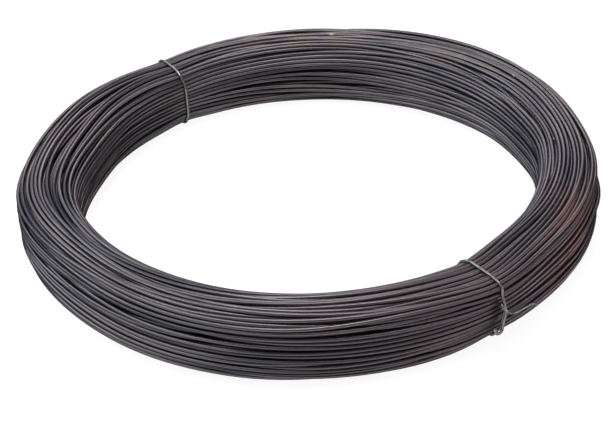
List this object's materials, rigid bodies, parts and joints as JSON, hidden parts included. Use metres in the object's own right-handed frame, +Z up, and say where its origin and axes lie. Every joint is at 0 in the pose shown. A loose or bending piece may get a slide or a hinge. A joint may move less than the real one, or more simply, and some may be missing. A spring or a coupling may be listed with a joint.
{
  "type": "coil of annealed wire",
  "caption": "Round coil of thin dark annealed steel wire with an open bore, lying flat, its bundle of turns held together by twisted tie wires.",
  "frame": {"origin": "centre of the bore, on the floor that the coil lies on", "axes": "+Z up along the bore axis; the front of the coil, as pictured, faces -Y"},
  "size_m": [0.3, 0.3, 0.0397],
  "materials": {
    "annealed_wire": "dark oxide scale, satin",
    "tie_wire": "dull grey, worn oxide"
  },
  "bodies": {
    "root": {"coil": "annealed_wire", "tie_wire_front": "tie_wire", "tie_wire_back": "tie_wire"}
  },
  "joints": []
}
